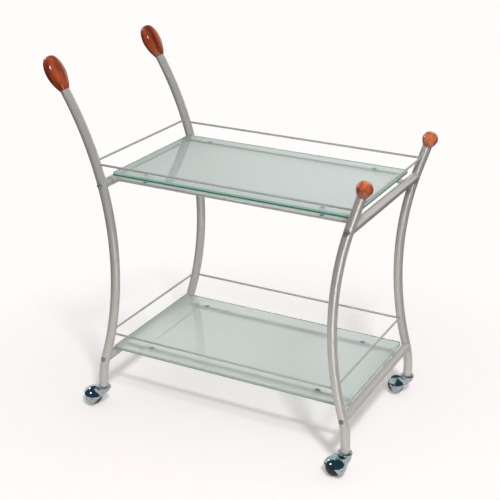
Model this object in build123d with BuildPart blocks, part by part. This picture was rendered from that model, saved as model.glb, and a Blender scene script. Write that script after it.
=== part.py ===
from build123d import *
from math import asin, atan, cos, degrees, hypot, radians, sin, sqrt, tan
import os

# Serving trolley: four bowed tube legs, two glass shelves, rod rails, wooden knobs and ball casters.
# Millimetres, +Z up. The origin is on the floor in the middle of the four feet.
# +X points to the low end with the small knobs, -X to the high end with the push handles, -Y to the front.

# Overall sizes of the frame
FOOT_SPACING = 640.0  # between the feet at the two ends
LEG_SPACING = 410.0  # between the front and the back pair of legs
HANDLE_LEG_HEIGHT = 783.0  # top of the tall legs, which carry the push handles
END_LEG_HEIGHT = 653.0  # top of the short legs at the low end
LEG_END_HEIGHT = 50.0  # underside of every leg, above the floor
UPPER_BAR_HEIGHT = 574.0  # axis of the two crossbars under the upper shelf
LOWER_BAR_HEIGHT = 129.0  # axis of the two crossbars under the lower shelf

# Steel tube of the legs and crossbars
TUBE_DIAMETER = 22.0
TUBE_WALL = 1.5
SOCKET_LENGTH = 14.0  # plastic socket in the foot, which holds a caster stem
SOCKET_MARGIN = 1.0  # straight tube left above the socket
FOOT_BEND_RADIUS = 250.0  # first bend, which turns the leg inward
FOOT_BEND_ANGLE = 16.77
BOW_RADIUS = 790.0  # long bow, which turns the leg outward again
HANDLE_LEG_STRAIGHT = 12.0  # straight tube above the bow, in the tall legs
END_LEG_STRAIGHT = 60.0  # and in the short legs

# Glass shelves
UPPER_GLASS_LENGTH = 590.0
UPPER_GLASS_WIDTH = 352.0
UPPER_GLASS_TOP = 597.0
LOWER_GLASS_LENGTH = 612.0
LOWER_GLASS_WIDTH = 356.0
LOWER_GLASS_TOP = 151.0
GLASS_THICKNESS = 8.0
GLASS_CORNER_RADIUS = 6.0
GLASS_ARRIS = 0.6  # small bevel round both faces of a pane

# Rails between the crossbars, and the pads that carry the glass
RAIL_DIAMETER = 11.0
UPPER_RAIL_SPACING = 304.0
UPPER_RAIL_RISE = 0.0  # height of the rails' axis over the crossbars' axis
LOWER_RAIL_SPACING = 276.0
LOWER_RAIL_RISE = 5.0
PAD_DIAMETER = 12.0
PAD_SPACING = 440.0  # between the pads along a rail
PAD_SADDLE_DEPTH = 2.0  # how far a pad reaches down over its rail

# Guard rods round both shelves
GUARD_ROD_DIAMETER = 5.0
UPPER_GUARD_HEIGHT = 621.0  # axis of the long rods
LOWER_GUARD_HEIGHT = 201.0
GUARD_ROD_STEP = 5.8  # how much higher the short rods run
ROD_END_TO_LEG_AXIS = 7.0  # a rod ends inside the bore of the leg

# Bolts through the legs into the crossbars
BOLT_DIAMETER = 6.0
BOLT_REACH = 13.0  # thread beyond the leg, inside the crossbar
BOLT_HEAD_DIAMETER = 10.5
BOLT_HEAD_HEIGHT = 3.3
BOLT_HEAD_RIM = 0.6  # straight rim under the domed head
HEX_KEY_SIZE = 4.0
HEX_KEY_DEPTH = 2.0
BOLT_CROWN_MARGIN = 1.0  # flat round the hex socket, on top of the head
WASHER_DIAMETER = 12.5
WASHER_THICKNESS = 1.3
CROSSBAR_NUT_LENGTH = 16.0
CROSSBAR_NUT_INSET = 0.5  # the nut stands back from the coped end

# Turned wooden knobs
HANDLE_LENGTH = 83.5
HANDLE_DIAMETER = 45.2
HANDLE_BELLY_HEIGHT = 47.0  # where the handle is thickest
HANDLE_BASE_DIAMETER = 22.4
KNOB_LENGTH = 33.5
KNOB_DIAMETER = 36.0
KNOB_BELLY_HEIGHT = 19.5
KNOB_BASE_DIAMETER = 22.0
DOME_FULLNESS = 0.73  # how far the top stands out half way round; an ellipse has 0.707
STUD_DIAMETER = 8.0
STUD_DEPTH_IN_WOOD = 18.0
STUD_HOLE_MARGIN = 1.0
LEG_PLUG_LENGTH = 10.0

# Ball casters
BALL_DIAMETER = 42.0
CASTER_TRAIL = 27.0  # from the swivel axis to the ball's centre
HOOD_DIAMETER = 53.0
HOOD_SHEET = 1.6
HOOD_LIFT = 1.2  # centre of the hood above the axle
HOOD_TONGUE_RADIUS = 7.5
HOOD_TONGUE_BACKSET = 1.0
HOOD_TONGUE_DROP = 4.0  # below the hood's centre
HOOD_FRONT_ANGLE = 40.0  # rise of the tongue's front edge, up to the swivel
HOOD_BACK_ANGLE = 57.0  # rise of the tongue's back edge
ARM_WIDTH = 31.0
ARM_SETBACK = 13.25  # the arm's sides end this far short of the ball's centre
RACE_DIAMETER = 34.0
RACE_BOTTOM = 44.0
RACE_TOP = 50.6
RACE_EDGE_RADIUS = 2.2
RACE_RECESS_DIAMETER = 26.0  # dish round the end of the leg
COLLAR_THICKNESS = 0.7
COLLAR_DIAMETER = 20.0
STEM_DIAMETER = 8.0
STEM_BUTTON_DIAMETER = 14.0
STEM_BUTTON_THICKNESS = 1.5
STEM_TAIL = 3.0  # stem below the button, in the hood's arm
AXLE_DIAMETER = 5.0
AXLE_HEAD_DIAMETER = 7.4
AXLE_HEAD_HEIGHT = 1.4
AXLE_SEAT_DEPTH = 0.6  # flat spot in the tongue under the axle's head
HUB_DIAMETER = 12.0

# Direction in which each caster trails, degrees from +X
FRONT_LEFT_TRAIL = 202.0
FRONT_RIGHT_TRAIL = 242.0
BACK_LEFT_TRAIL = 200.0
BACK_RIGHT_TRAIL = 200.0

# Clearances
FIT_CLEARANCE = 0.05  # radial, pins and threads in their holes
COPE_CLEARANCE = 0.1  # round a tube that another tube is cut to
PLUG_CLEARANCE = 0.15  # radial, plugs in a tube
ROD_HOLE_CLEARANCE = 0.1
RUNNING_CLEARANCE = 0.3  # between flat faces that turn on each other
HUB_CLEARANCE = 0.4
CUT_MARGIN = 5.0  # how far a cutter reaches past the surface it cuts
HOLE_LEAD = 2.5  # how far inside the end of a rod its hole starts

os.makedirs("parts", exist_ok=True)

# Values that follow from the sizes above
tube_radius = TUBE_DIAMETER / 2
bore_radius = tube_radius - TUBE_WALL
foot_x = FOOT_SPACING / 2
leg_y = LEG_SPACING / 2
foot_straight = SOCKET_LENGTH + SOCKET_MARGIN
bend_angle = radians(FOOT_BEND_ANGLE)
bend_start_z = LEG_END_HEIGHT + foot_straight
bend_end_x = foot_x - FOOT_BEND_RADIUS * (1 - cos(bend_angle))
bend_end_z = bend_start_z + FOOT_BEND_RADIUS * sin(bend_angle)
bow_centre_x = bend_end_x + BOW_RADIUS * cos(bend_angle)
bow_centre_z = bend_end_z + BOW_RADIUS * sin(bend_angle)

ENDS = {"left": -1, "right": 1}
SIDES = {"front": -1, "back": 1}
LEG_TOPS = {"left": HANDLE_LEG_HEIGHT, "right": END_LEG_HEIGHT}
TOP_STRAIGHTS = {"left": HANDLE_LEG_STRAIGHT, "right": END_LEG_STRAIGHT}
BAR_HEIGHTS = {"upper": UPPER_BAR_HEIGHT, "lower": LOWER_BAR_HEIGHT}
GUARD_HEIGHTS = {"upper": UPPER_GUARD_HEIGHT, "lower": LOWER_GUARD_HEIGHT}
CORNERS = [(end, side) for end in ENDS for side in SIDES]


def top_angle(end):
    """Outward slope of a leg's straight top from upright, so that the leg reaches its height."""
    reach = hypot(BOW_RADIUS, TOP_STRAIGHTS[end])
    return asin((LEG_TOPS[end] - bow_centre_z) / reach) - atan(TOP_STRAIGHTS[end] / BOW_RADIUS)


def leg_x(end, height):
    """Distance of a leg's centre line from the middle of the trolley, at a height."""
    bow_end_z = bow_centre_z + BOW_RADIUS * sin(top_angle(end))
    if height > bow_end_z:
        bow_end_x = bow_centre_x - BOW_RADIUS * cos(top_angle(end))
        return bow_end_x + (height - bow_end_z) * tan(top_angle(end))
    if height > bend_end_z:
        return bow_centre_x - sqrt(BOW_RADIUS**2 - (height - bow_centre_z) ** 2)
    rise = max(0.0, height - bend_start_z)
    return foot_x - FOOT_BEND_RADIUS + sqrt(FOOT_BEND_RADIUS**2 - rise**2)


def leg_centre_line(end, side):
    """A leg's centre line: a straight foot, a bend inward, the long bow outward and a straight top."""
    sign = ENDS[end]
    bow_turn = FOOT_BEND_ANGLE + degrees(top_angle(end))
    with BuildLine(Plane.XZ.offset(-SIDES[side] * leg_y)) as centre_line:
        Line((sign * foot_x, LEG_END_HEIGHT), (sign * foot_x, bend_start_z))
        bend = JernArc((sign * foot_x, bend_start_z), (0, 1), FOOT_BEND_RADIUS, sign * FOOT_BEND_ANGLE)
        bow = JernArc(bend @ 1, bend % 1, BOW_RADIUS, -sign * bow_turn)
        Line(bow @ 1, (bow @ 1) + (bow % 1) * TOP_STRAIGHTS[end])
    return centre_line.line


def write(piece, name):
    """Label a finished piece and write it under its name."""
    piece.part.label = name
    export_step(piece.part, f"parts/{name}.step")


centre_lines = {corner: leg_centre_line(*corner) for corner in CORNERS}

# Solid core of each leg, a little larger than the tube, which the crossbars and washers are cut to
leg_cores = {}
for corner, centre_line in centre_lines.items():
    with BuildPart() as leg_core:
        with BuildSketch(Plane(centre_line @ 0, z_dir=centre_line % 0)):
            Circle(tube_radius + COPE_CLEARANCE)
        sweep(path=centre_line)
    leg_cores[corner] = leg_core.part

# Legs: bent tube with bolt holes right through, and rod holes in the inner wall only
for (end, side), centre_line in centre_lines.items():
    end_sign = ENDS[end]
    side_sign = SIDES[side]
    hole_start = ROD_END_TO_LEG_AXIS - HOLE_LEAD
    hole_length = tube_radius + CUT_MARGIN
    with BuildPart() as leg:
        with BuildSketch(Plane(centre_line @ 0, z_dir=centre_line % 0)):
            Circle(tube_radius)
            Circle(bore_radius, mode=Mode.SUBTRACT)
        sweep(path=centre_line)
        with BuildSketch(Plane.XZ.offset(-side_sign * leg_y)):
            with Locations(*[(end_sign * leg_x(end, height), height) for height in BAR_HEIGHTS.values()]):
                Circle(BOLT_DIAMETER / 2 + ROD_HOLE_CLEARANCE)
        extrude(amount=tube_radius + CUT_MARGIN, both=True, mode=Mode.SUBTRACT)
        for height in GUARD_HEIGHTS.values():
            long_hole_x = end_sign * (leg_x(end, height) - hole_start)
            with BuildSketch(Plane((long_hole_x, side_sign * leg_y, height), z_dir=(-end_sign, 0, 0))):
                Circle(GUARD_ROD_DIAMETER / 2 + ROD_HOLE_CLEARANCE)
            extrude(amount=hole_length, mode=Mode.SUBTRACT)
            short_height = height + GUARD_ROD_STEP
            short_hole_y = side_sign * (leg_y - hole_start)
            short_hole_x = end_sign * leg_x(end, short_height)
            with BuildSketch(Plane((short_hole_x, short_hole_y, short_height), z_dir=(0, -side_sign, 0))):
                Circle(GUARD_ROD_DIAMETER / 2 + ROD_HOLE_CLEARANCE)
            extrude(amount=hole_length, mode=Mode.SUBTRACT)
    write(leg, f"{side}_{end}_leg")

# Crossbars: straight tube, both ends coped to the legs
for level, height in BAR_HEIGHTS.items():
    for end, end_sign in ENDS.items():
        with BuildPart() as crossbar:
            with BuildSketch(Plane.XZ):
                with Locations((end_sign * leg_x(end, height), height)):
                    Circle(tube_radius)
                    Circle(bore_radius, mode=Mode.SUBTRACT)
            extrude(amount=leg_y, both=True)
            for side in SIDES:
                add(leg_cores[end, side], mode=Mode.SUBTRACT)
        write(crossbar, f"{level}_{end}_crossbar")

# Threaded end nuts inside the crossbars, turned on a Y axis
nut_outer_end = leg_y - tube_radius - CROSSBAR_NUT_INSET
with BuildPart() as crossbar_nuts:
    for height in BAR_HEIGHTS.values():
        for end, end_sign in ENDS.items():
            for side_sign in SIDES.values():
                nut_plane = Plane(
                    (end_sign * leg_x(end, height), side_sign * nut_outer_end, height), z_dir=(0, -side_sign, 0)
                )
                with BuildSketch(nut_plane):
                    Circle(bore_radius - PLUG_CLEARANCE)
                    Circle(BOLT_DIAMETER / 2 + FIT_CLEARANCE, mode=Mode.SUBTRACT)
                extrude(amount=CROSSBAR_NUT_LENGTH)
write(crossbar_nuts, "crossbar_nuts")

# Saddle washers: flat outside, curved to the leg inside
washer_face = leg_y + tube_radius + WASHER_THICKNESS
with BuildPart() as saddle_washers:
    for height in BAR_HEIGHTS.values():
        for end, end_sign in ENDS.items():
            for side_sign in SIDES.values():
                washer_plane = Plane(
                    (end_sign * leg_x(end, height), side_sign * washer_face, height), z_dir=(0, -side_sign, 0)
                )
                with BuildSketch(washer_plane):
                    Circle(WASHER_DIAMETER / 2)
                    Circle(BOLT_DIAMETER / 2 + ROD_HOLE_CLEARANCE, mode=Mode.SUBTRACT)
                extrude(amount=tube_radius)
    for leg_core_part in leg_cores.values():
        add(leg_core_part, mode=Mode.SUBTRACT)
write(saddle_washers, "saddle_washers")

# Button-head bolts with a hex socket, made once on the Z axis with the head's underside at zero
bolt_length = WASHER_THICKNESS + TUBE_DIAMETER + BOLT_REACH
head_radius = BOLT_HEAD_DIAMETER / 2
crown_radius = HEX_KEY_SIZE / 2 + BOLT_CROWN_MARGIN
with BuildPart(mode=Mode.PRIVATE) as bolt:
    with BuildSketch(Plane.XZ):
        with BuildLine():
            Polyline(
                (0, BOLT_HEAD_HEIGHT),
                (0, -bolt_length),
                (BOLT_DIAMETER / 2, -bolt_length),
                (BOLT_DIAMETER / 2, 0),
                (head_radius, 0),
                (head_radius, BOLT_HEAD_RIM),
            )
            RadiusArc((head_radius, BOLT_HEAD_RIM), (crown_radius, BOLT_HEAD_HEIGHT), -head_radius)
            Line((crown_radius, BOLT_HEAD_HEIGHT), (0, BOLT_HEAD_HEIGHT))
        make_face()
    revolve(axis=Axis.Z)
    with BuildSketch(Plane.XY.offset(BOLT_HEAD_HEIGHT)):
        RegularPolygon(HEX_KEY_SIZE / 2, 6, major_radius=False)
    extrude(amount=-HEX_KEY_DEPTH, mode=Mode.SUBTRACT)

with BuildPart() as crossbar_bolts:
    for height in BAR_HEIGHTS.values():
        for end, end_sign in ENDS.items():
            for side_sign in SIDES.values():
                bolt_origin = (end_sign * leg_x(end, height), side_sign * washer_face, height)
                with Locations(Plane(bolt_origin, z_dir=(0, side_sign, 0))):
                    add(bolt.part)
write(crossbar_bolts, "crossbar_bolts")

# Rails: round bar between the two crossbars of a level, coped to them
RAIL_PLACES = {
    "upper": (UPPER_BAR_HEIGHT, UPPER_RAIL_RISE, UPPER_RAIL_SPACING),
    "lower": (LOWER_BAR_HEIGHT, LOWER_RAIL_RISE, LOWER_RAIL_SPACING),
}
for level, (bar_height, rail_rise, rail_spacing) in RAIL_PLACES.items():
    left_bar_x = -leg_x("left", bar_height)
    right_bar_x = leg_x("right", bar_height)
    for side, side_sign in SIDES.items():
        with BuildPart() as rail:
            with BuildSketch(Plane.YZ.offset(left_bar_x)):
                with Locations((side_sign * rail_spacing / 2, bar_height + rail_rise)):
                    Circle(RAIL_DIAMETER / 2)
            extrude(amount=right_bar_x - left_bar_x)
            with BuildSketch(Plane.XZ):
                with Locations((left_bar_x, bar_height), (right_bar_x, bar_height)):
                    Circle(tube_radius + COPE_CLEARANCE)
            extrude(amount=leg_y, both=True, mode=Mode.SUBTRACT)
        write(rail, f"{level}_{side}_rail")

# Glass shelves with rounded corners and bevelled edges
GLASS_SIZES = {
    "upper": (UPPER_GLASS_LENGTH, UPPER_GLASS_WIDTH, UPPER_GLASS_TOP),
    "lower": (LOWER_GLASS_LENGTH, LOWER_GLASS_WIDTH, LOWER_GLASS_TOP),
}
for level, (glass_length, glass_width, glass_top) in GLASS_SIZES.items():
    with BuildPart() as glass_shelf:
        with BuildSketch(Plane.XY.offset(glass_top)):
            RectangleRounded(glass_length, glass_width, GLASS_CORNER_RADIUS)
        extrude(amount=-GLASS_THICKNESS)
        rims = glass_shelf.faces().filter_by(Axis.Z).edges()
        chamfer(rims, GLASS_ARRIS)
    write(glass_shelf, f"{level}_glass_shelf")

# Clear pads: short cylinders between the glass and a rail, hollowed to the rail underneath
for level, (bar_height, rail_rise, rail_spacing) in RAIL_PLACES.items():
    glass_bottom = GLASS_SIZES[level][2] - GLASS_THICKNESS
    rail_axis = bar_height + rail_rise
    pad_bottom = rail_axis + RAIL_DIAMETER / 2 - PAD_SADDLE_DEPTH
    with BuildPart() as glass_pads:
        with BuildSketch(Plane.XY.offset(pad_bottom)):
            with GridLocations(PAD_SPACING, rail_spacing, 2, 2):
                Circle(PAD_DIAMETER / 2)
        extrude(amount=glass_bottom - pad_bottom)
        with BuildSketch(Plane.YZ):
            with Locations((-rail_spacing / 2, rail_axis), (rail_spacing / 2, rail_axis)):
                Circle(RAIL_DIAMETER / 2 + FIT_CLEARANCE)
        extrude(amount=PAD_SPACING / 2 + PAD_DIAMETER, both=True, mode=Mode.SUBTRACT)
    write(glass_pads, f"{level}_glass_pads")

# Guard rods: two long ones in the planes of the legs, two short ones a step higher
for level, height in GUARD_HEIGHTS.items():
    rod_left_x = ROD_END_TO_LEG_AXIS - leg_x("left", height)
    rod_right_x = leg_x("right", height) - ROD_END_TO_LEG_AXIS
    for side, side_sign in SIDES.items():
        with BuildPart() as long_rod:
            with BuildSketch(Plane.YZ.offset(rod_left_x)):
                with Locations((side_sign * leg_y, height)):
                    Circle(GUARD_ROD_DIAMETER / 2)
            extrude(amount=rod_right_x - rod_left_x)
        write(long_rod, f"{level}_{side}_guard_rod")
    short_height = height + GUARD_ROD_STEP
    for end, end_sign in ENDS.items():
        with BuildPart() as short_rod:
            with BuildSketch(Plane.XZ):
                with Locations((end_sign * leg_x(end, short_height), short_height)):
                    Circle(GUARD_ROD_DIAMETER / 2)
            extrude(amount=leg_y - ROD_END_TO_LEG_AXIS, both=True)
        write(short_rod, f"{level}_{end}_guard_rod")

# Turned knobs: an egg-shaped outline about the axis of the leg's end, with a blind hole for the stud
KNOB_SIZES = {
    "left": ("push_handle", HANDLE_LENGTH, HANDLE_DIAMETER, HANDLE_BELLY_HEIGHT, HANDLE_BASE_DIAMETER),
    "right": ("end_knob", KNOB_LENGTH, KNOB_DIAMETER, KNOB_BELLY_HEIGHT, KNOB_BASE_DIAMETER),
}
stud_hole_radius = STUD_DIAMETER / 2 + FIT_CLEARANCE
stud_hole_depth = STUD_DEPTH_IN_WOOD + STUD_HOLE_MARGIN
for (end, side), centre_line in centre_lines.items():
    kind, length, diameter, belly_height, base_diameter = KNOB_SIZES[end]
    leg_end = centre_line @ 1
    leg_direction = centre_line % 1
    base_radius = base_diameter / 2
    belly_radius = diameter / 2
    dome_height = length - belly_height
    # The outline widens along a parabola up to the belly and closes in a dome a little fuller than an ellipse
    outline = []
    for share in (0, 1 / 2, 1):
        outline.append((belly_radius - (belly_radius - base_radius) * (1 - share) ** 2, belly_height * share))
    outline.append((belly_radius * DOME_FULLNESS, belly_height + dome_height * DOME_FULLNESS))
    outline.append((0, length))
    rim_slope = (2 * (belly_radius - base_radius), belly_height)
    with BuildPart() as knob:
        with BuildSketch(Plane(leg_end, x_dir=(0, 1, 0), z_dir=Vector(0, 1, 0).cross(leg_direction))):
            with BuildLine():
                Polyline(
                    (0, length),
                    (0, stud_hole_depth),
                    (stud_hole_radius, stud_hole_depth),
                    (stud_hole_radius, 0),
                    outline[0],
                )
                Spline(*outline, tangents=[rim_slope, (-1, 0)])
            make_face()
        revolve(axis=Axis(leg_end, leg_direction))
    write(knob, f"{side}_{kind}")

# Plugs in the tops of the legs, and the studs that join them to the knobs
with BuildPart() as leg_top_plugs:
    for centre_line in centre_lines.values():
        with BuildSketch(Plane(centre_line @ 1, z_dir=centre_line % 1)):
            Circle(bore_radius - PLUG_CLEARANCE)
            Circle(stud_hole_radius, mode=Mode.SUBTRACT)
        extrude(amount=-LEG_PLUG_LENGTH)
write(leg_top_plugs, "leg_top_plugs")

with BuildPart() as knob_studs:
    for centre_line in centre_lines.values():
        stud_foot = (centre_line @ 1) - (centre_line % 1) * LEG_PLUG_LENGTH
        with BuildSketch(Plane(stud_foot, z_dir=centre_line % 1)):
            Circle(STUD_DIAMETER / 2)
        extrude(amount=LEG_PLUG_LENGTH + STUD_DEPTH_IN_WOOD)
write(knob_studs, "knob_studs")

# Caster sockets in the feet
with BuildPart() as caster_sockets:
    with BuildSketch(Plane.XY.offset(LEG_END_HEIGHT)):
        with GridLocations(FOOT_SPACING, LEG_SPACING, 2, 2):
            Circle(bore_radius - PLUG_CLEARANCE)
            Circle(STEM_DIAMETER / 2 + FIT_CLEARANCE, mode=Mode.SUBTRACT)
    extrude(amount=SOCKET_LENGTH)
write(caster_sockets, "caster_sockets")

# Values shared by the pieces of a caster
ball_radius = BALL_DIAMETER / 2
hood_radius = HOOD_DIAMETER / 2
hood_inner_radius = hood_radius - HOOD_SHEET
arm_length = CASTER_TRAIL - ARM_SETBACK
collar_bottom = LEG_END_HEIGHT - COLLAR_THICKNESS
recess_floor = collar_bottom - RUNNING_CLEARANCE
button_bottom = RACE_BOTTOM + RUNNING_CLEARANCE
button_top = button_bottom + STEM_BUTTON_THICKNESS
stem_bottom = button_bottom - STEM_TAIL
axle_seat = hood_radius - AXLE_SEAT_DEPTH
hub_half_width = sqrt(hood_inner_radius**2 - (HUB_DIAMETER / 2 + HOOD_LIFT) ** 2) - HUB_CLEARANCE
stem_hole_radius = STEM_DIAMETER / 2 + FIT_CLEARANCE

CASTERS = {
    "front_left": (-foot_x, -leg_y, FRONT_LEFT_TRAIL),
    "front_right": (foot_x, -leg_y, FRONT_RIGHT_TRAIL),
    "back_left": (-foot_x, leg_y, BACK_LEFT_TRAIL),
    "back_right": (foot_x, leg_y, BACK_RIGHT_TRAIL),
}
for corner, (caster_x, caster_y, trail) in CASTERS.items():
    trail_x = cos(radians(trail))
    trail_y = sin(radians(trail))
    swivel = Axis((caster_x, caster_y, 0), (0, 0, 1))
    swivel_section = Plane((caster_x, caster_y, 0), x_dir=(1, 0, 0), z_dir=(0, -1, 0))
    ball_x = caster_x + CASTER_TRAIL * trail_x
    ball_y = caster_y + CASTER_TRAIL * trail_y
    # Side views of the wheel: local x runs backward along the trail, local y is up
    side_view = Plane((ball_x, ball_y, ball_radius), x_dir=(trail_x, trail_y, 0), z_dir=(trail_y, -trail_x, 0))
    hood_view = side_view.move(Location((0, 0, HOOD_LIFT)))
    axle_axis = Axis(side_view.origin, side_view.z_dir)

    # Stem: fixed in the leg's socket, with a collar under the tube and a button in the race
    with BuildPart() as stem:
        with BuildSketch(swivel_section):
            with BuildLine():
                Polyline(
                    (0, stem_bottom),
                    (STEM_DIAMETER / 2, stem_bottom),
                    (STEM_DIAMETER / 2, button_bottom),
                    (STEM_BUTTON_DIAMETER / 2, button_bottom),
                    (STEM_BUTTON_DIAMETER / 2, button_top),
                    (STEM_DIAMETER / 2, button_top),
                    (STEM_DIAMETER / 2, collar_bottom),
                    (COLLAR_DIAMETER / 2, collar_bottom),
                    (COLLAR_DIAMETER / 2, LEG_END_HEIGHT),
                    (STEM_DIAMETER / 2, LEG_END_HEIGHT),
                    (STEM_DIAMETER / 2, LEG_END_HEIGHT + SOCKET_LENGTH),
                    (0, LEG_END_HEIGHT + SOCKET_LENGTH),
                    close=True,
                )
            make_face()
        revolve(axis=swivel)
    write(stem, f"{corner}_caster_stem")

    # Race: ring over the stem's button, dished round the end of the leg
    with BuildPart() as race:
        with BuildSketch(Plane((caster_x, caster_y, RACE_BOTTOM))):
            Circle(RACE_DIAMETER / 2)
        extrude(amount=RACE_TOP - RACE_BOTTOM)
        fillet(race.edges(), RACE_EDGE_RADIUS)
        with BuildSketch(Plane((caster_x, caster_y, recess_floor))):
            Circle(RACE_RECESS_DIAMETER / 2)
        extrude(amount=RACE_TOP - recess_floor, mode=Mode.SUBTRACT)
        with BuildSketch(Plane((caster_x, caster_y, RACE_BOTTOM))):
            Circle(STEM_BUTTON_DIAMETER / 2 + RUNNING_CLEARANCE)
        extrude(amount=button_top + RUNNING_CLEARANCE - RACE_BOTTOM, mode=Mode.SUBTRACT)
        with BuildSketch(Plane((caster_x, caster_y, RACE_BOTTOM))):
            Circle(stem_hole_radius)
        extrude(amount=RACE_TOP - RACE_BOTTOM, mode=Mode.SUBTRACT)
    write(race, f"{corner}_caster_race")

    # Hood: ball shell and arm, trimmed from the side to a rounded tongue, then bored
    tongue_centre = Vector(HOOD_TONGUE_BACKSET, -HOOD_TONGUE_DROP)
    front_angle = radians(HOOD_FRONT_ANGLE)
    back_angle = radians(HOOD_BACK_ANGLE)
    front_tangent = tongue_centre + Vector(-sin(front_angle), -cos(front_angle)) * HOOD_TONGUE_RADIUS
    back_tangent = tongue_centre + Vector(sin(back_angle), -cos(back_angle)) * HOOD_TONGUE_RADIUS
    tongue_bottom = tongue_centre - Vector(0, HOOD_TONGUE_RADIUS)
    edge_length = HOOD_DIAMETER + CASTER_TRAIL
    front_end = front_tangent + Vector(-cos(front_angle), sin(front_angle)) * edge_length
    back_end = back_tangent + Vector(cos(back_angle), sin(back_angle)) * edge_length
    with BuildPart() as hood:
        with Locations(hood_view.origin):
            Sphere(hood_radius)
        with BuildSketch(Plane((caster_x, caster_y, 0), x_dir=(trail_x, trail_y, 0))):
            with Locations((arm_length / 2, 0)):
                SlotCenterToCenter(arm_length, ARM_WIDTH)
        extrude(amount=RACE_BOTTOM)
        with BuildSketch(hood_view):
            with BuildLine():
                Line(front_end, front_tangent)
                ThreePointArc(front_tangent, tongue_bottom, back_tangent)
                Line(back_tangent, back_end)
                Line(back_end, front_end)
            make_face()
        extrude(amount=HOOD_DIAMETER, both=True, mode=Mode.INTERSECT)
        with Locations(hood_view.origin):
            Sphere(hood_inner_radius, mode=Mode.SUBTRACT)
        with BuildSketch(Plane((caster_x, caster_y, RACE_BOTTOM))):
            Circle(RACE_DIAMETER / 2 + FIT_CLEARANCE)
        extrude(amount=HOOD_DIAMETER, mode=Mode.SUBTRACT)
        with BuildSketch(Plane((caster_x, caster_y, stem_bottom - RUNNING_CLEARANCE))):
            Circle(stem_hole_radius)
        extrude(amount=STEM_TAIL + CUT_MARGIN, mode=Mode.SUBTRACT)
        with BuildSketch(side_view):
            Circle(AXLE_DIAMETER / 2 + FIT_CLEARANCE)
        extrude(amount=HOOD_DIAMETER, both=True, mode=Mode.SUBTRACT)
        for outward in (-1, 1):
            with BuildSketch(side_view.offset(outward * axle_seat)):
                Circle(AXLE_HEAD_DIAMETER / 2 + ROD_HOLE_CLEARANCE)
            extrude(amount=outward * CUT_MARGIN, mode=Mode.SUBTRACT)
    write(hood, f"{corner}_caster_hood")

    # Ball wheel: rubber ball with a short hub on each side
    with BuildPart() as ball_wheel:
        with Locations(side_view.origin):
            Sphere(ball_radius)
        with BuildSketch(side_view):
            Circle(HUB_DIAMETER / 2)
        extrude(amount=hub_half_width, both=True)
        with BuildSketch(side_view):
            Circle(AXLE_DIAMETER / 2 + FIT_CLEARANCE)
        extrude(amount=hood_radius, both=True, mode=Mode.SUBTRACT)
    write(ball_wheel, f"{corner}_ball_wheel")

    # Axle: riveted pin through both tongues of the hood
    with BuildPart() as axle:
        with BuildSketch(side_view):
            Circle(AXLE_DIAMETER / 2)
        extrude(amount=axle_seat, both=True)
        for outward in (-1, 1):
            with BuildSketch(side_view.offset(outward * axle_seat)):
                Circle(AXLE_HEAD_DIAMETER / 2)
            extrude(amount=outward * AXLE_HEAD_HEIGHT)
        rivet_rims = axle.edges().filter_by(GeomType.CIRCLE).group_by(axle_axis)
        fillet(rivet_rims[0] + rivet_rims[-1], AXLE_HEAD_HEIGHT / 2)
    write(axle, f"{corner}_caster_axle")
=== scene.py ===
"""Dresses the serving trolley for its picture: finishes for every part, a plain studio, the camera.

Lengths are in metres in the frame of the solid model: Z up, X along the trolley from the push
handles to the small knobs, and the floor at Z = 0.
"""
import math

import bpy
import numpy as np
from mathutils import Matrix, Vector


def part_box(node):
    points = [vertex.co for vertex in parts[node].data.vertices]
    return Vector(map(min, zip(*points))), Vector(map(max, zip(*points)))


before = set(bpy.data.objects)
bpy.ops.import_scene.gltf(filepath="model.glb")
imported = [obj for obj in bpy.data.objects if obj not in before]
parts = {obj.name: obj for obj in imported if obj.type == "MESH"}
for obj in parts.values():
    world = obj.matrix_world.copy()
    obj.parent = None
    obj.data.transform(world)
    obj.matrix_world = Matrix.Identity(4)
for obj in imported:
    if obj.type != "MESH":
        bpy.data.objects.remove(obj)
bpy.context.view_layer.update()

MM = 0.001

# Where the photograph was taken from, solved from the picture, and how much its lens takes in.
EYE = Vector((1.1048, -2.2529, 1.4157))
TURN, TILT, ROLL = (math.radians(angle) for angle in (26.672, 22.053, 0.841))
AHEAD_LEVEL = Vector((-math.sin(TURN), math.cos(TURN), 0.0))
ACROSS = Vector((math.cos(TURN), math.sin(TURN), 0.0))  # level, to the right in the picture
FOCAL_PIXELS = 1138.66
PICTURE_PIXELS = 500.0
SENSOR_WIDTH = 36.0  # in millimetres, as Blender's lenses are
NEAREST, FARTHEST = 0.05, 60.0

# The studio's floor, and the round of paper that lies on it.
FLOOR_RADIUS, FLOOR_RINGS, FLOOR_SPOKES = 14.0, 24, 96
PAPER_RADIUS = 0.8
PAPER_FADE = 0.2  # width of the ring in which the paper gives way to the dim floor
WHITE_FROM, WHITE_FULL = 0.42, 0.95  # between these reaches the seen floor turns plain white
PAPER_LIFT = 0.29  # brings the lit paper up to the white around it
WARM_WHITE = "#FFFDFB"

# A lamp's name, its place, the point that it faces, its two widths and its power in watts. The key
# lamp lights all that isn't a mirror. The others only draw bright streaks and sparks on what is.
KEY_LAMP = ("key_softbox", (2.36, -2.83, 4.73), (0.0, 0.0, 0.0), (0.75, 0.75), 180.0)
SPARKLE_LAMPS = (
    ("left_softbox", (-1.7, 0.0, 1.45), (0.0, 0.0, 0.65), (0.4, 0.4), 2.8),
    ("front_softbox", (-0.6, -1.45, 1.3), (0.0, 0.0, 0.65), (0.36, 0.36), 2.4),
    ("floor_strip", (0.72, -1.25, 0.02), (0.72, -1.25, 1.0), (0.16, 1.5), 4.8),
)

# Sockets of a Mix node that blends colours: its two inputs and its output.
COLOUR_A, COLOUR_B, BLENDED = 6, 7, 2


# Nodes and colours

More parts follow.
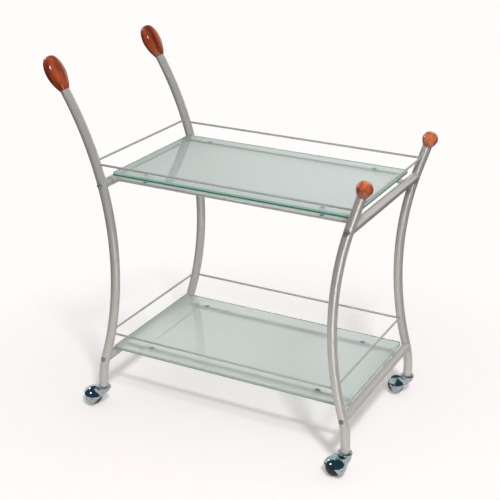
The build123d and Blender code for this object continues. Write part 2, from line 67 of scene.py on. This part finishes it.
def colour(code):
    """Linear RGBA of an sRGB hex code such as #A8A49E."""
    channels = [int(code[place:place + 2], 16) / 255 for place in (1, 3, 5)]
    linear = [c / 12.92 if c <= 0.04045 else ((c + 0.055) / 1.055) ** 2.4 for c in channels]
    return (*linear, 1.0)


def add_node(tree, kind, settings=None, links=None):
    """Adds a node.

    A setting is a property of the node or the value of an input. A link feeds an input from an
    output, or from the first output of another node.
    """
    node = tree.nodes.new(kind)
    for name, value in (settings or {}).items():
        if isinstance(name, str) and hasattr(node, name):
            setattr(node, name, value)
        else:
            node.inputs[name].default_value = value
    for name, source in (links or {}).items():
        output = source.outputs[0] if isinstance(source, bpy.types.Node) else source
        tree.links.new(output, node.inputs[name])
    return node


def new_material(name):
    """An empty node material, its tree, and the Object coordinates that every pattern uses."""
    material = bpy.data.materials.new(name)
    material.use_nodes = True
    tree = material.node_tree
    tree.nodes.clear()
    place = add_node(tree, "ShaderNodeTexCoord").outputs["Object"]
    return material, tree, place


# Finishes

def silver_enamel():
    """Silver enamel on steel tube: fine aluminium flake in clear resin, sprayed and baked.

    The eye sees a smooth warm grey with one bright stripe along the tube and darker sides. The
    faint cloud of the flake is drawn 7 mm wide, coarser than the real one, so that it shows.
    """
    material, tree, place = new_material("silver_baked_enamel")
    flake = add_node(tree, "ShaderNodeTexNoise", {"Scale": 1 / (7 * MM), "Detail": 1.0},
                     {"Vector": place})
    drift = add_node(tree, "ShaderNodeTexNoise", {"Scale": 1 / (45 * MM), "Detail": 1.0},
                     {"Vector": place})
    both = add_node(tree, "ShaderNodeMath", {"operation": "ADD"}, {0: flake, 1: drift})
    cover = add_node(tree, "ShaderNodeMapRange", {"From Min": 0.7, "From Max": 1.3},
                     {"Value": both})
    tint = add_node(tree, "ShaderNodeMix",
                    {"data_type": "RGBA", COLOUR_A: colour("#D7D3CC"), COLOUR_B: colour("#DCD8D1")},
                    {0: cover}).outputs[BLENDED]
    roughness = add_node(tree, "ShaderNodeMapRange",
                         {"From Min": 0.3, "From Max": 0.7, "To Min": 0.29, "To Max": 0.31},
                         {"Value": drift})
    shader = add_node(tree, "ShaderNodeBsdfPrincipled", {"Metallic": 0.35},
                      {"Base Color": tint, "Roughness": roughness})
    add_node(tree, "ShaderNodeOutputMaterial", None, {"Surface": shader})
    return material


def clouded_finish(name, patch, detail, cover, tints, shine, roughness=None, relief=None):
    """A finish whose colour drifts between two tints in soft patches of one real width.

    Cover is the range of the noise over which the first tint gives way to the second. Shine holds
    the shader's even values. Roughness is the range that drifts with the tint, and relief the
    strength and depth of the bump; without them the surface is even in these.
    """
    material, tree, place = new_material(name)
    cloud = add_node(tree, "ShaderNodeTexNoise", {"Scale": 1 / patch, "Detail": detail},
                     {"Vector": place})
    share = add_node(tree, "ShaderNodeMapRange", {"From Min": cover[0], "From Max": cover[1]},
                     {"Value": cloud})
    first, second = (colour(code) for code in tints)
    tint = add_node(tree, "ShaderNodeMix",
                    {"data_type": "RGBA", COLOUR_A: first, COLOUR_B: second},
                    {0: share}).outputs[BLENDED]
    links = {"Base Color": tint}
    if roughness:
        links["Roughness"] = add_node(
            tree, "ShaderNodeMapRange",
            {"From Min": 0.3, "From Max": 0.7, "To Min": roughness[0], "To Max": roughness[1]},
            {"Value": cloud})
    if relief:
        links["Normal"] = add_node(tree, "ShaderNodeBump",
                                   {"Strength": relief[0], "Distance": relief[1]},
                                   {"Height": cloud})
    shader = add_node(tree, "ShaderNodeBsdfPrincipled", shine, links)
    add_node(tree, "ShaderNodeOutputMaterial", None, {"Surface": shader})
    return material


def frosted_shelf_glass(name, pane, sheets, edges, shadow):
    """Float glass, finely etched on its underside and with ground and polished edges.

    The eye sees a pale grey green sheet with a clear mirror sheen on top and soft shapes behind it.
    The rims are painted: a painted shade in a deep colour along the foot and a painted highlight in
    a paler one along the top, in place of the light that glass carries out to its edges. Edges
    holds these two colours. The etching's grain is drawn 2.5 mm wide so that it shows. The shadow
    colour is what one face of the sheet lets through of a lamp's light.
    """
    material, tree, place = new_material(name)
    foot, head = (corner[2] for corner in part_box(pane))
    thickness = head - foot
    grain = add_node(tree, "ShaderNodeTexNoise", {"Scale": 1 / (2.5 * MM), "Detail": 3.0},
                     {"Vector": place})
    height = add_node(tree, "ShaderNodeSeparateXYZ", None, {0: place}).outputs["Z"]
    facing = add_node(tree, "ShaderNodeNewGeometry").outputs["Normal"]
    tilt = add_node(tree, "ShaderNodeSeparateXYZ", None, {0: facing}).outputs["Z"]
    level = add_node(tree, "ShaderNodeMath", {"operation": "ABSOLUTE"}, {0: tilt})
    rim = add_node(tree, "ShaderNodeMapRange", {"From Min": 0.95, "From Max": 0.85},
                   {"Value": level})

    underside = add_node(tree, "ShaderNodeMapRange",
                         {"From Min": foot + 0.3 * MM, "From Max": foot + 0.1 * MM},
                         {"Value": height})
    etched = add_node(tree, "ShaderNodeMapRange",
                      {"From Min": 0.3, "From Max": 0.7, "To Min": 0.58, "To Max": 0.66},
                      {"Value": grain})
    roughness = add_node(tree, "ShaderNodeMath", {"operation": "MULTIPLY"},
                         {0: underside, 1: etched})

    cover = add_node(tree, "ShaderNodeMapRange", {"From Min": 0.35, "From Max": 0.65},
                     {"Value": grain})
    pale, paler = (colour(code) for code in sheets)
    sheet = add_node(tree, "ShaderNodeMix",
                     {"data_type": "RGBA", COLOUR_A: pale, COLOUR_B: paler},
                     {0: cover}).outputs[BLENDED]
    # Painted shade and painted highlight on the rim faces of the sheet: a deep colour along the
    # foot, a paler one along the top.
    painted_edge_light_mask = add_node(tree, "ShaderNodeMapRange",
                     {"From Min": foot + 0.4 * thickness, "From Max": foot + 0.6 * thickness},
                     {"Value": height})
    painted_edge_shade, painted_edge_highlight = (colour(code) for code in edges)
    painted_edge_colour = add_node(tree, "ShaderNodeMix",
                    {"data_type": "RGBA", COLOUR_A: painted_edge_shade, COLOUR_B: painted_edge_highlight},
                    {0: painted_edge_light_mask}).outputs[BLENDED]
    tint = add_node(tree, "ShaderNodeMix", {"data_type": "RGBA"},
                    {0: rim, COLOUR_A: sheet, COLOUR_B: painted_edge_colour}).outputs[BLENDED]
    clear = add_node(tree, "ShaderNodeMapRange",
                     {"From Min": 0.0, "From Max": 1.0, "To Min": 1.0, "To Max": 0.25},
                     {"Value": rim})
    glass = add_node(tree, "ShaderNodeBsdfPrincipled", {"IOR": 1.5},
                     {"Base Color": tint, "Roughness": roughness, "Transmission Weight": clear})

    shade = add_node(tree, "ShaderNodeBsdfTransparent", {"Color": colour(shadow)})
    is_shadow = add_node(tree, "ShaderNodeLightPath").outputs["Is Shadow Ray"]
    surface = add_node(tree, "ShaderNodeMixShader", None, {0: is_shadow, 1: glass, 2: shade})
    body = add_node(tree, "ShaderNodeVolumeAbsorption",
                    {"Color": colour("#7FE0C8"), "Density": 6.0})
    add_node(tree, "ShaderNodeOutputMaterial", None, {"Surface": surface, "Volume": body})
    return material


def stained_cherry(name, dark, light, lean):
    """Cherry, turned on a lathe, stained and dipped in clear gloss lacquer.

    The eye sees a deep red brown that turns orange in soft streaks along the piece, with faint
    grain lines 3 mm apart, under a wet smooth coat with small sharp lights. The lean in degrees
    turns the grain about Y into line with the piece's own axis.
    """
    material, tree, place = new_material(name)
    along = add_node(tree, "ShaderNodeMapping", {"Rotation": (0.0, math.radians(lean), 0.0)},
                     {"Vector": place})
    stretched = add_node(tree, "ShaderNodeMapping", {"Scale": (1.0, 1.0, 0.2)}, {"Vector": along})
    fibres = add_node(tree, "ShaderNodeTexNoise",
                      {"Scale": 1 / (3 * MM), "Detail": 4.0, "Distortion": 0.4},
                      {"Vector": stretched})
    streaks = add_node(tree, "ShaderNodeTexNoise", {"Scale": 1 / (14 * MM), "Detail": 1.0},
                       {"Vector": stretched})
    faint = add_node(tree, "ShaderNodeMapRange",
                     {"From Min": 0.3, "From Max": 0.7, "To Min": -0.06, "To Max": 0.06},
                     {"Value": fibres})
    both = add_node(tree, "ShaderNodeMath", {"operation": "ADD"}, {0: streaks, 1: faint})
    cover = add_node(tree, "ShaderNodeMapRange", {"From Min": 0.3, "From Max": 0.7},
                     {"Value": both})
    tint = add_node(tree, "ShaderNodeMix",
                    {"data_type": "RGBA", COLOUR_A: colour(dark), COLOUR_B: colour(light)},
                    {0: cover}).outputs[BLENDED]
    roughness = add_node(tree, "ShaderNodeMapRange",
                         {"From Min": 0.3, "From Max": 0.7, "To Min": 0.55, "To Max": 0.65},
                         {"Value": fibres})
    shader = add_node(tree, "ShaderNodeBsdfPrincipled",
                      {"Coat Weight": 1.0, "Coat Roughness": 0.03, "Coat IOR": 1.8, "IOR": 1.5,
                       "Specular IOR Level": 0.1},
                      {"Base Color": tint, "Roughness": roughness})
    add_node(tree, "ShaderNodeOutputMaterial", None, {"Surface": shader})
    return material


FINISHES = {
    "silver": silver_enamel(),

    # Bright drawn steel rod, nickel plated over the marks of the die. The eye sees a thin grey line
    # with darker borders, a little cloudy along the rod where the plating varies, here in patches
    # of 6 mm.
    "rod": clouded_finish("nickel_plated_rod", 6 * MM, 2.0, (0.35, 0.65), ("#CFCDC8", "#DAD8D3"),
                          {"Metallic": 0.5}, roughness=(0.3, 0.36)),

    # The two panes are one glass, given lit and shaded copies: the upper pane's rims carry a deep
    # painted shade under a pale painted highlight and its sheet is painted a little darker, while
    # the lower pane's rims are painted pale.
    "upper_glass": frosted_shelf_glass("upper_frosted_glass", "upper_glass_shelf",
                                       ("#E0E9E8", "#E6EFEE"), ("#2F8272", "#B4E2D8"), "#FFFFFF"),
    "lower_glass": frosted_shelf_glass("lower_frosted_glass", "lower_glass_shelf",
                                       ("#ECF2F1", "#F2F7F6"), ("#A6BBB1", "#D3E3DB"), "#FCFCFB"),

    # Clear silicone bumper, cast in a mould. The eye sees a water-clear soft disc, slightly cloudy
    # with tiny bubbles, drawn 1.2 mm wide.
    "pad": clouded_finish("clear_silicone", 1.2 * MM, 2.0, (0.4, 0.6), ("#DDE5E3", "#F2F6F5"),
                          {"Transmission Weight": 0.85, "IOR": 1.41}, roughness=(0.12, 0.3)),

    "handle": stained_cherry("dark_cherry_gloss_lacquer", "#742715", "#D06036", 31.0),
    "knob": stained_cherry("light_cherry_gloss_lacquer", "#AA4728", "#F2844B", -17.0),

    # Steel fasteners, turned, zinc plated and passivated. The eye sees a pale smoky metal with
    # faint cloudy stains a few millimetres across.
    "zinc": clouded_finish("bright_zinc_plate", 2.5 * MM, 3.0, (0.35, 0.65), ("#A09D98", "#C0BDB8"),
                           {"Metallic": 0.6}, roughness=(0.18, 0.34)),

    # Grey nylon plugs, injection moulded. The eye sees a dull mid grey with the fine grain of a
    # sparked mould, drawn 0.8 mm wide.
    "nylon": clouded_finish("grey_moulded_nylon", 0.8 * MM, 2.0, (0.35, 0.65),
                            ("#54585A", "#666A6C"), {"IOR": 1.53, "Roughness": 0.48},
                            relief=(0.15, 0.1 * MM)),

    # Pressed steel caster parts, polished and chrome plated. The eye sees a cool blue mirror, bent
    # a little by the ripples that polishing leaves, about 6 mm long, and dulled by a faint haze.
    "chrome": clouded_finish("bright_chrome_plate", 6 * MM, 1.0, (0.35, 0.65),
                             ("#B4C4C9", "#C6D4D8"), {"Metallic": 1.0}, roughness=(0.06, 0.12),
                             relief=(0.04, 0.3 * MM)),

    # Black rubber ball tread, moulded over the hub. The eye sees a dull black with a soft wide
    # highlight and a grey bloom in patches 5 mm across.
    "rubber": clouded_finish("black_moulded_rubber", 5 * MM, 4.0, (0.35, 0.7),
                             ("#141518", "#2A2C30"), {"IOR": 1.52}, roughness=(0.36, 0.5),
                             relief=(0.1, 0.1 * MM)),
}

# Each finish goes to the parts whose names end in one of these words.
ENDINGS = {
    "_leg": "silver", "_crossbar": "silver", "_rail": "silver", "_guard_rod": "rod",
    "upper_glass_shelf": "upper_glass", "lower_glass_shelf": "lower_glass", "_glass_pads": "pad",
    "_push_handle": "handle", "_end_knob": "knob",
    "_bolts": "zinc", "_washers": "zinc", "_nuts": "zinc", "_studs": "zinc",
    "_plugs": "nylon", "_sockets": "nylon", "_caster_stem": "zinc", "_caster_race": "chrome",
    "_caster_hood": "chrome", "_caster_axle": "chrome", "_ball_wheel": "rubber",
}


def give_finish(part, material):
    """Puts the material in every slot of a part of the solid model."""
    slots = part.data.materials
    if not len(slots):
        slots.append(material)
    for place in range(len(slots)):
        slots[place] = material


for part_name, part in parts.items():
    ending = next(words for words in ENDINGS if part_name.endswith(words))
    give_finish(part, FINISHES[ENDINGS[ending]])


# Floor, light and camera

def round_floor(radius, rings, spokes):
    """A flat disc.

    Ring r meets spoke s at the reach radius * r / rings and the angle 2 pi s / spokes.
    """
    ring, spoke = np.meshgrid(np.arange(1, rings + 1), np.arange(spokes), indexing="ij")
    reach = radius * ring / rings
    turn = 2 * math.pi * spoke / spokes
    points = np.stack([reach * np.cos(turn), reach * np.sin(turn), np.zeros_like(reach)], axis=-1)
    points = np.concatenate([[[0.0, 0.0, 0.0]], points.reshape(-1, 3)])
    inner = 1 + (ring[:-1] - 1) * spokes + spoke[:-1]
    following = 1 + (ring[:-1] - 1) * spokes + (spoke[:-1] + 1) % spokes
    squares = np.stack([inner, inner + spokes, following + spokes, following], axis=-1)
    hub = np.arange(spokes)
    wedges = np.stack([np.zeros_like(hub), 1 + hub, 1 + (hub + 1) % spokes], axis=-1)
    mesh = bpy.data.meshes.new("studio_floor")
    mesh.from_pydata(points.tolist(), [], squares.reshape(-1, 4).tolist() + wedges.tolist())
    disc = bpy.data.objects.new("studio_floor", mesh)
    bpy.context.scene.collection.objects.link(disc)
    return disc


def seen_directly(tree):
    """Node that gives 1 for a ray from the camera, straight or through glass, and 0 for others."""
    path = add_node(tree, "ShaderNodeLightPath")
    direct = add_node(tree, "ShaderNodeMath", {"operation": "MAXIMUM"},
                      {0: path.outputs["Is Camera Ray"], 1: path.outputs["Is Transmission Ray"]})
    unscattered = add_node(tree, "ShaderNodeMath", {"operation": "LESS_THAN", 1: 0.5},
                           {0: path.outputs["Diffuse Depth"]})
    return add_node(tree, "ShaderNodeMath", {"operation": "MULTIPLY"}, {0: direct, 1: unscattered})


def studio_paper():
    """A round of matt white background paper under the object, on a dim studio floor.

    The eye sees warm white with soft grey shadows, and a faint mottle drawn 30 mm wide. Seen by the
    camera or through glass, the floor around the paper is white too, without an end. Through glass
    its glow is painted a little darker to the left, a painted shade for the side of the studio that
    gets less light.
    """
    material, tree, place = new_material("matt_white_background_paper")
    seen = seen_directly(tree)
    reach = add_node(tree, "ShaderNodeVectorMath", {"operation": "LENGTH"},
                     {0: place}).outputs["Value"]

    mottle = add_node(tree, "ShaderNodeTexNoise", {"Scale": 1 / (30 * MM), "Detail": 2.0},
                      {"Vector": place})
    cover = add_node(tree, "ShaderNodeMapRange", {"From Min": 0.3, "From Max": 0.7},
                     {"Value": mottle})
    tint = add_node(tree, "ShaderNodeMix",
                    {"data_type": "RGBA", COLOUR_A: colour("#F6F1EF"), COLOUR_B: colour("#F9F4F2")},
                    {0: cover}).outputs[BLENDED]
    on_paper = add_node(tree, "ShaderNodeMapRange",
                        {"From Min": PAPER_RADIUS + PAPER_FADE, "From Max": PAPER_RADIUS},
                        {"Value": reach})
    is_paper = add_node(tree, "ShaderNodeMath", {"operation": "MAXIMUM"}, {0: seen, 1: on_paper})
    ground = add_node(tree, "ShaderNodeMix", {"data_type": "RGBA", COLOUR_A: colour("#3A3C40")},
                      {0: is_paper, COLOUR_B: tint}).outputs[BLENDED]
    paint = add_node(tree, "ShaderNodeBsdfDiffuse", None, {"Color": ground})
    lift = add_node(tree, "ShaderNodeEmission",
                    {"Color": colour("#FFFAF8"), "Strength": PAPER_LIFT})
    lifted = add_node(tree, "ShaderNodeAddShader", None, {0: paint, 1: lift})
    shown = add_node(tree, "ShaderNodeMixShader", None, {0: seen, 1: paint, 2: lifted})

    # Painted shade: through glass, the white glow of the far floor is dimmed towards the left.
    sideways = add_node(tree, "ShaderNodeVectorMath", {"operation": "DOT_PRODUCT", 1: ACROSS},
                        {0: place}).outputs["Value"]
    offset = add_node(tree, "ShaderNodeMath", {"operation": "SUBTRACT", 1: EYE.dot(ACROSS)},
                      {0: sideways})
    painted_shade_leftward = add_node(tree, "ShaderNodeMapRange",
                      {"From Min": -0.7, "From Max": 0.3, "To Min": 0.3, "To Max": 1.0},
                      {"Value": offset})
    is_camera = add_node(tree, "ShaderNodeLightPath").outputs["Is Camera Ray"]
    strength = add_node(tree, "ShaderNodeMath", {"operation": "MAXIMUM"}, {0: is_camera, 1: painted_shade_leftward})
    white = add_node(tree, "ShaderNodeEmission", {"Color": colour(WARM_WHITE)},
                     {"Strength": strength})
    far = add_node(tree, "ShaderNodeMapRange", {"From Min": WHITE_FROM, "From Max": WHITE_FULL},
                   {"Value": reach})
    far_seen = add_node(tree, "ShaderNodeMath", {"operation": "MULTIPLY"}, {0: far, 1: seen})
    whole = add_node(tree, "ShaderNodeMixShader", None, {0: far_seen, 1: shown, 2: white})
    add_node(tree, "ShaderNodeOutputMaterial", None, {"Surface": whole})
    return material


def build_world():
    """The studio round the object: white to the camera and through glass, dim slate in mirrors.

    In a mirror, white shows ahead of the camera, where the paper rises behind the object.
    """
    world = bpy.data.worlds.new("studio")
    bpy.context.scene.world = world
    world.use_nodes = True
    tree = world.node_tree
    tree.nodes.clear()
    direction = add_node(tree, "ShaderNodeTexCoord").outputs["Generated"]
    ahead = add_node(tree, "ShaderNodeVectorMath", {"operation": "DOT_PRODUCT", 1: AHEAD_LEVEL},
                     {0: direction}).outputs["Value"]
    height = add_node(tree, "ShaderNodeSeparateXYZ", None, {0: direction}).outputs["Z"]
    between = add_node(tree, "ShaderNodeMapRange", {"From Min": 0.3, "From Max": 0.6},
                       {"Value": ahead})
    below = add_node(tree, "ShaderNodeMapRange", {"From Min": 0.65, "From Max": 0.4},
                     {"Value": height})
    band = add_node(tree, "ShaderNodeMath", {"operation": "MULTIPLY"}, {0: between, 1: below})
    white = add_node(tree, "ShaderNodeBackground", {"Color": colour(WARM_WHITE), "Strength": 1.0})
    room = add_node(tree, "ShaderNodeBackground", {"Color": colour("#2C4650"), "Strength": 1.0})
    mirrored = add_node(tree, "ShaderNodeMixShader", None, {0: band, 1: room, 2: white})
    ambient = add_node(tree, "ShaderNodeBackground",
                       {"Color": colour("#F9F9FC"), "Strength": 0.36})
    is_glossy = add_node(tree, "ShaderNodeLightPath").outputs["Is Glossy Ray"]
    unseen = add_node(tree, "ShaderNodeMixShader", None, {0: is_glossy, 1: ambient, 2: mirrored})
    whole = add_node(tree, "ShaderNodeMixShader", None,
                     {0: seen_directly(tree), 1: unseen, 2: white})
    add_node(tree, "ShaderNodeOutputWorld", None, {"Surface": whole})


def add_softbox(name, place, aim, size, power):
    """A round or oval area lamp at a place, turned to face a point."""
    lamp = bpy.data.lights.new(name, "AREA")
    lamp.shape = "ELLIPSE"
    lamp.size, lamp.size_y = size
    lamp.energy = power
    holder = bpy.data.objects.new(name, lamp)
    facing = Vector(aim) - Vector(place)
    turned = facing.to_track_quat("-Z", "Y").to_matrix().to_4x4()
    holder.matrix_world = Matrix.Translation(Vector(place)) @ turned
    bpy.context.scene.collection.objects.link(holder)
    return holder


def add_camera():
    """The camera at the photograph's place, with its turn, tilt and roll."""
    ahead = AHEAD_LEVEL * math.cos(TILT) - Vector((0.0, 0.0, math.sin(TILT)))
    above = ACROSS.cross(ahead)
    right = ACROSS * math.cos(ROLL) + above * math.sin(ROLL)
    up = above * math.cos(ROLL) - ACROSS * math.sin(ROLL)
    lens = bpy.data.cameras.new("picture_camera")
    lens.sensor_width = SENSOR_WIDTH
    lens.lens = SENSOR_WIDTH * FOCAL_PIXELS / PICTURE_PIXELS
    lens.clip_start, lens.clip_end = NEAREST, FARTHEST
    camera = bpy.data.objects.new("picture_camera", lens)
    turned = Matrix((right, up, -ahead)).transposed().to_4x4()
    camera.matrix_world = Matrix.Translation(EYE) @ turned
    bpy.context.scene.collection.objects.link(camera)
    bpy.context.scene.camera = camera


floor = round_floor(FLOOR_RADIUS, FLOOR_RINGS, FLOOR_SPOKES)
floor.data.materials.append(studio_paper())

build_world()
key = add_softbox(*KEY_LAMP)
key.visible_glossy = False
key.visible_transmission = False
for row in SPARKLE_LAMPS:
    sparkle = add_softbox(*row)
    sparkle.visible_camera = False
    sparkle.visible_diffuse = False
    sparkle.visible_transmission = False
add_camera()

bpy.context.scene.view_settings.view_transform = "Standard"
